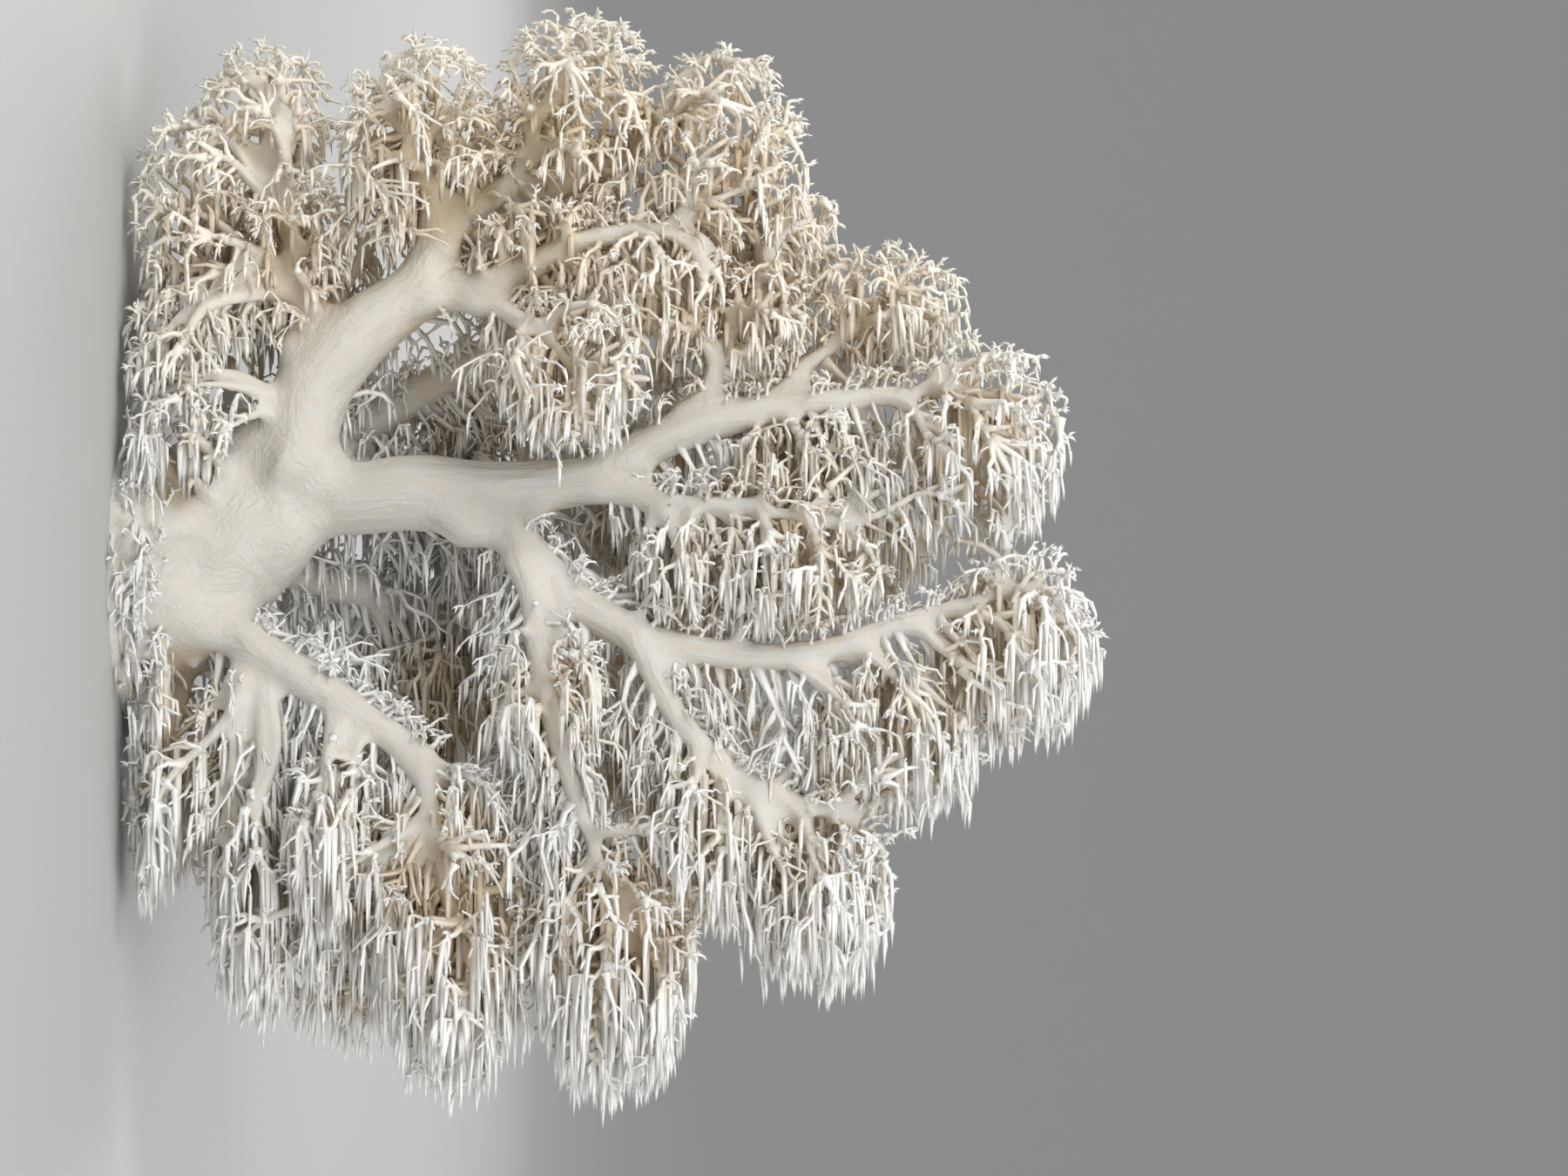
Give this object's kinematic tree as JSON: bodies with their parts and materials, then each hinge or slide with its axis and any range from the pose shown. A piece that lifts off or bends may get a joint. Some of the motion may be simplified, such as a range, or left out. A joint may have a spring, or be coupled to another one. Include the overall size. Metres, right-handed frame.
{
  "type": "branched lion's mane mushroom",
  "caption": "Branched tooth fungus cut flat from its log: thick pale limbs fork from one stem and end in drooping tufts of fine icicle-like spines.",
  "frame": {"origin": "on the flat cut where the fungus grew from the log, beside the middle of the foot", "axes": "+Z out of the log, which is up as the part rests on its cut; +X the way the spines hung while it grew; +Y across"},
  "size_m": [0.2503, 0.1035, 0.2228],
  "materials": {
    "flesh": "smooth waxy matte flesh, ivory white",
    "cream_spines": "satin, cream, paler at the tips",
    "white_spines": "satin, translucent white, paler at the tips"
  },
  "bodies": {
    "root": {"back_crown_tuft": "cream_spines", "back_drop_tuft": "white_spines", "back_foot_tuft": "white_spines", "back_inner_tuft": "white_spines", "back_log_tuft": "cream_spines", "back_lower_limb": "flesh", "back_lower_tuft": "white_spines", "back_middle_limb": "flesh", "back_middle_tuft": "white_spines", "back_outer_tuft": "white_spines", "back_shoulder_tuft": "cream_spines", "back_upper_limb": "flesh", "collar_tuft": "cream_spines", "crown_left_branch": "flesh", "crown_left_tuft": "cream_spines", "crown_limb": "flesh", "crown_right_tuft": "cream_spines", "crown_tip_tuft": "cream_spines", "crown_top_branch": "flesh", "crown_top_tuft": "cream_spines", "fan_branch": "flesh", "fan_tuft": "cream_spines", "first_drop_branch": "flesh", "first_drop_tuft": "white_spines", "first_drop_upper_tuft": "white_spines", "foot_drop_branch": "flesh", "foot_drop_tuft": "white_spines", "foot_inner_tuft": "white_spines", "foot_limb": "flesh", "foot_middle_tuft": "white_spines", "inner_branch": "flesh", "inner_hanging_tuft": "white_spines", "inner_tuft": "white_spines", "log_lower_tuft": "white_spines", "log_small_tuft": "cream_spines", "log_top_tuft": "cream_spines", "log_upper_tuft": "cream_spines", "lower_limb": "flesh", "lower_middle_tuft": "white_spines", "lower_outer_limb": "flesh", "lower_outer_tuft": "white_spines", "middle_limb": "flesh", "outer_hanging_tuft": "white_spines", "outer_limb": "flesh", "outer_tuft": "white_spines", "pendant_branch": "flesh", "pendant_tuft": "white_spines", "raised_branch": "flesh", "raised_tuft": "cream_spines", "second_drop_branch": "flesh", "second_drop_inner_tuft": "white_spines", "second_drop_outer_tuft": "white_spines", "shoulder_limb": "flesh", "shoulder_outer_tuft": "cream_spines", "shoulder_tuft": "cream_spines", "stem": "flesh", "upper_left_limb": "flesh", "upper_left_tuft": "cream_spines", "upper_limb": "flesh"}
  },
  "joints": []
}
